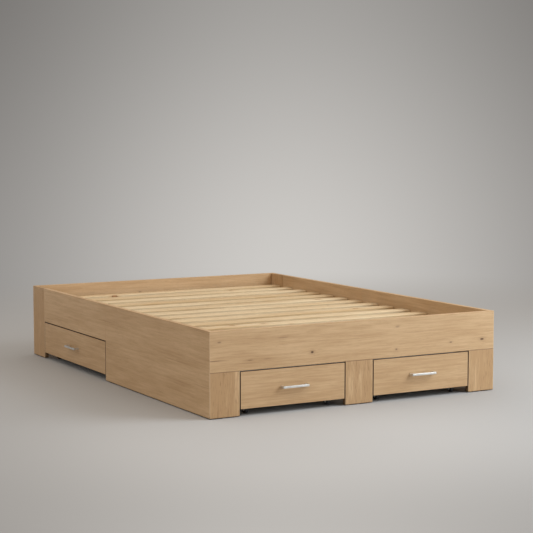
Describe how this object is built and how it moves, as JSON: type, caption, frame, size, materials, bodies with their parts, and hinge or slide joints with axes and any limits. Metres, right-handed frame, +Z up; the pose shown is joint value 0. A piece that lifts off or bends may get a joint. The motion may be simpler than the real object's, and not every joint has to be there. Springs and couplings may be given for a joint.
{
  "type": "storage bed frame",
  "caption": "Low bed frame of oak-look boards with a slatted base, and drawers on castors under the foot and both sides.",
  "frame": {"origin": "on the floor, under the middle of the whole part with its handles", "axes": "+X across the bed, to the right as seen from the foot; +Y from the foot to the head; +Z up"},
  "size_m": [1.502, 2.076, 0.365],
  "materials": {
    "oak_board": "satin printed oak laminate",
    "white_board": "smooth white melamine",
    "pine": "planed softwood",
    "satin_nickel": "satin nickel",
    "zinc_steel": "zinc-plated",
    "castor_white": "moulded nylon",
    "wheel_grey": "moulded, matte",
    "webbing": "woven polypropylene",
    "glide_plastic": "moulded, matte"
  },
  "bodies": {
    "frame": {"foot_panel": "oak_board", "foot_post_centre": "oak_board", "head_panel": "oak_board", "foot_post_left": "oak_board", "side_panel_left": "oak_board", "head_post_left": "oak_board", "side_rail_left": "oak_board", "foot_post_right": "oak_board", "side_panel_right": "oak_board", "head_post_right": "oak_board", "side_rail_right": "oak_board", "cross_divider": "oak_board", "foot_divider": "oak_board", "head_divider": "oak_board", "floor_glides": "glide_plastic", "slat_ledge_left": "pine", "slat_ledge_right": "pine", "slats": "pine", "slat_strap_left": "webbing", "slat_strap_right": "webbing", "corner_brackets": "zinc_steel", "joining_plates": "zinc_steel", "drawer_guides": "pine"},
    "foot_drawer_left": {"foot_drawer_left_front": "oak_board", "foot_drawer_left_base": "white_board", "foot_drawer_left_left_wall": "white_board", "foot_drawer_left_right_wall": "white_board", "foot_drawer_left_back": "white_board", "foot_drawer_left_handle": "satin_nickel", "foot_drawer_left_castors": "castor_white"},
    "foot_drawer_left_front_wheels": {"foot_drawer_left_front_wheels": "wheel_grey"},
    "foot_drawer_left_rear_wheels": {"foot_drawer_left_rear_wheels": "wheel_grey"},
    "side_drawer_left": {"side_drawer_left_front": "oak_board", "side_drawer_left_base": "white_board", "side_drawer_left_left_wall": "white_board", "side_drawer_left_right_wall": "white_board", "side_drawer_left_back": "white_board", "side_drawer_left_handle": "satin_nickel", "side_drawer_left_castors": "castor_white"},
    "side_drawer_left_front_wheels": {"side_drawer_left_front_wheels": "wheel_grey"},
    "side_drawer_left_rear_wheels": {"side_drawer_left_rear_wheels": "wheel_grey"},
    "foot_drawer_right": {"foot_drawer_right_front": "oak_board", "foot_drawer_right_base": "white_board", "foot_drawer_right_left_wall": "white_board", "foot_drawer_right_right_wall": "white_board", "foot_drawer_right_back": "white_board", "foot_drawer_right_handle": "satin_nickel", "foot_drawer_right_castors": "castor_white"},
    "foot_drawer_right_front_wheels": {"foot_drawer_right_front_wheels": "wheel_grey"},
    "foot_drawer_right_rear_wheels": {"foot_drawer_right_rear_wheels": "wheel_grey"},
    "side_drawer_right": {"side_drawer_right_front": "oak_board", "side_drawer_right_base": "white_board", "side_drawer_right_left_wall": "white_board", "side_drawer_right_right_wall": "white_board", "side_drawer_right_back": "white_board", "side_drawer_right_handle": "satin_nickel", "side_drawer_right_castors": "castor_white"},
    "side_drawer_right_front_wheels": {"side_drawer_right_front_wheels": "wheel_grey"},
    "side_drawer_right_rear_wheels": {"side_drawer_right_rear_wheels": "wheel_grey"}
  },
  "joints": [
    {"name": "foot_drawer_left_slide", "type": "slide", "parent": "frame", "child": "foot_drawer_left", "axis": [0, -1, 0], "range_m": [0, 0.7]},
    {"name": "foot_drawer_left_front_wheels_roll", "type": "hinge", "parent": "foot_drawer_left", "child": "foot_drawer_left_front_wheels", "pos_m": [-0.3275, -0.952, 0.0175], "axis": [1, 0, 0], "continuous": true},
    {"name": "foot_drawer_left_rear_wheels_roll", "type": "hinge", "parent": "foot_drawer_left", "child": "foot_drawer_left_rear_wheels", "pos_m": [-0.3275, -0.2416, 0.0175], "axis": [1, 0, 0], "continuous": true},
    {"name": "side_drawer_left_slide", "type": "slide", "parent": "frame", "child": "side_drawer_left", "axis": [-1, 0, 0], "range_m": [0, 0.54]},
    {"name": "side_drawer_left_front_wheels_roll", "type": "hinge", "parent": "side_drawer_left", "child": "side_drawer_left_front_wheels", "pos_m": [-0.665, 0.4735, 0.0175], "axis": [0, -1, 0], "continuous": true},
    {"name": "side_drawer_left_rear_wheels_roll", "type": "hinge", "parent": "side_drawer_left", "child": "side_drawer_left_rear_wheels", "pos_m": [-0.112, 0.4735, 0.0175], "axis": [0, -1, 0], "continuous": true},
    {"name": "foot_drawer_right_slide", "type": "slide", "parent": "frame", "child": "foot_drawer_right", "axis": [0, -1, 0], "range_m": [0, 0.7]},
    {"name": "foot_drawer_right_front_wheels_roll", "type": "hinge", "parent": "foot_drawer_right", "child": "foot_drawer_right_front_wheels", "pos_m": [0.3275, -0.952, 0.0175], "axis": [1, 0, 0], "continuous": true},
    {"name": "foot_drawer_right_rear_wheels_roll", "type": "hinge", "parent": "foot_drawer_right", "child": "foot_drawer_right_rear_wheels", "pos_m": [0.3275, -0.2416, 0.0175], "axis": [1, 0, 0], "continuous": true},
    {"name": "side_drawer_right_slide", "type": "slide", "parent": "frame", "child": "side_drawer_right", "axis": [1, 0, 0], "range_m": [0, 0.54]},
    {"name": "side_drawer_right_front_wheels_roll", "type": "hinge", "parent": "side_drawer_right", "child": "side_drawer_right_front_wheels", "pos_m": [0.665, 0.4735, 0.0175], "axis": [0, 1, 0], "continuous": true},
    {"name": "side_drawer_right_rear_wheels_roll", "type": "hinge", "parent": "side_drawer_right", "child": "side_drawer_right_rear_wheels", "pos_m": [0.112, 0.4735, 0.0175], "axis": [0, 1, 0], "continuous": true}
  ],
  "couplings": [
    {"joint": "foot_drawer_left_front_wheels_roll", "follows": "foot_drawer_left_slide", "rad_per_m": 57.143},
    {"joint": "foot_drawer_left_rear_wheels_roll", "follows": "foot_drawer_left_slide", "rad_per_m": 57.143},
    {"joint": "side_drawer_left_front_wheels_roll", "follows": "side_drawer_left_slide", "rad_per_m": 57.143},
    {"joint": "side_drawer_left_rear_wheels_roll", "follows": "side_drawer_left_slide", "rad_per_m": 57.143},
    {"joint": "foot_drawer_right_front_wheels_roll", "follows": "foot_drawer_right_slide", "rad_per_m": 57.143},
    {"joint": "foot_drawer_right_rear_wheels_roll", "follows": "foot_drawer_right_slide", "rad_per_m": 57.143},
    {"joint": "side_drawer_right_front_wheels_roll", "follows": "side_drawer_right_slide", "rad_per_m": 57.143},
    {"joint": "side_drawer_right_rear_wheels_roll", "follows": "side_drawer_right_slide", "rad_per_m": 57.143}
  ]
}
